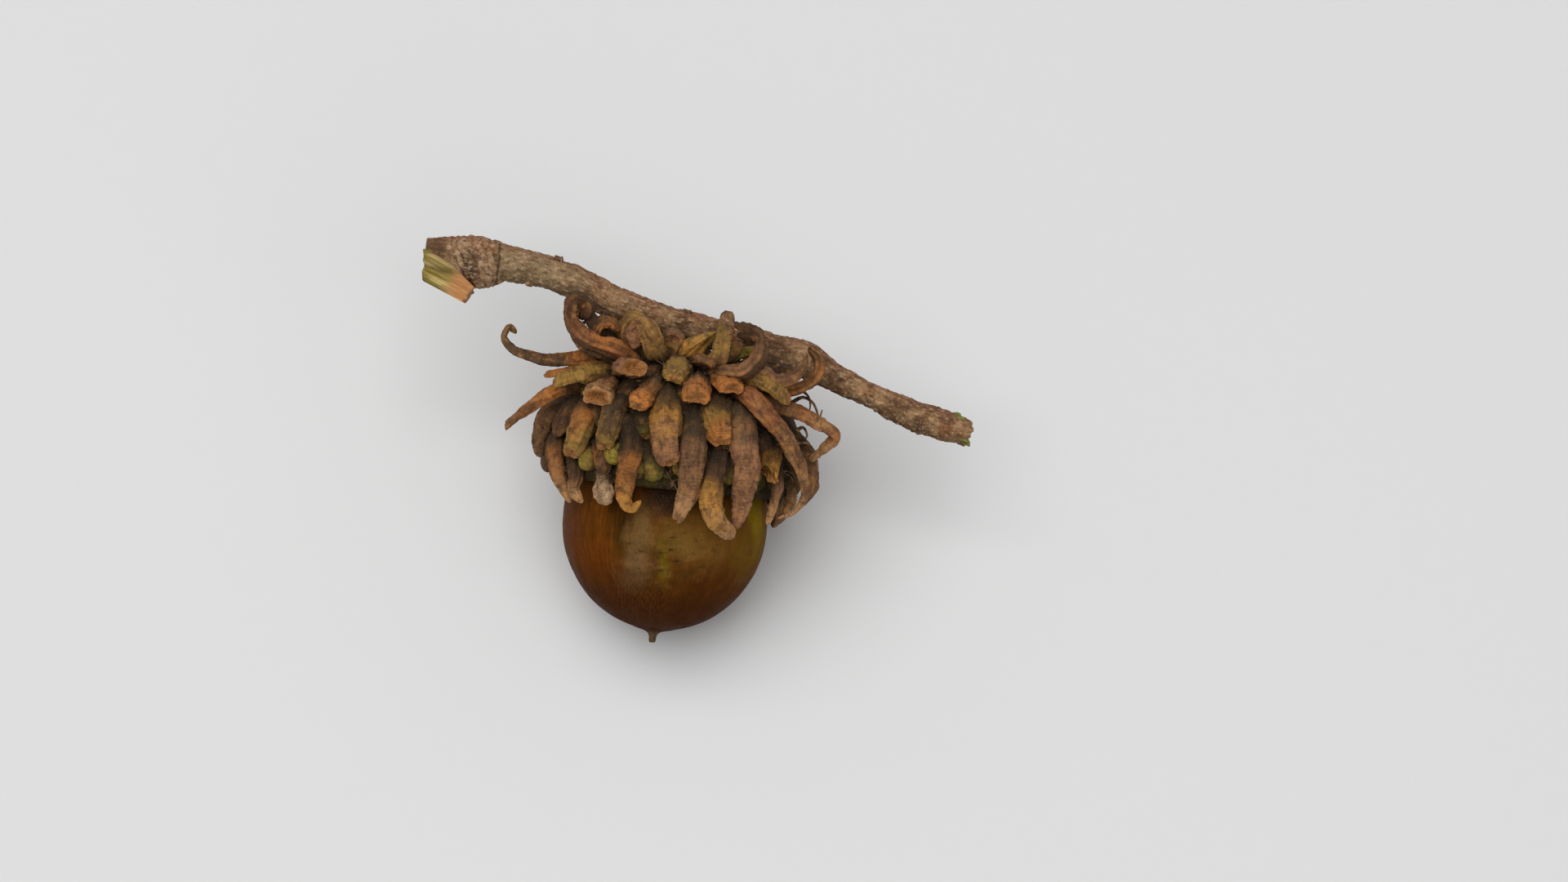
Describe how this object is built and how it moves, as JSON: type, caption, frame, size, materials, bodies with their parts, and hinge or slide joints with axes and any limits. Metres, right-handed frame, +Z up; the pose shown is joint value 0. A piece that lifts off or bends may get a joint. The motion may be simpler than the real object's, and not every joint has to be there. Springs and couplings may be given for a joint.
{
  "type": "acorn",
  "caption": "Ripe round acorn lying on its side in a deep cup of long, curling and broken scales, still on a short cut piece of oak twig.",
  "frame": {"origin": "middle of the small flat spot on the side of the nut that the part rests on", "axes": "+Z up from the surface, +X along the twig towards its thinner end, +Y from the nut's point towards the twig"},
  "size_m": [0.0574, 0.0396, 0.0281],
  "materials": {
    "nut_shell": "polished brown nutshell with olive streaks",
    "cup_scales": "dull, felted woody scales",
    "twig_bark": "rough thin bark"
  },
  "bodies": {
    "root": {"nut": "nut_shell", "cup": "cup_scales", "twig": "twig_bark"}
  },
  "joints": []
}
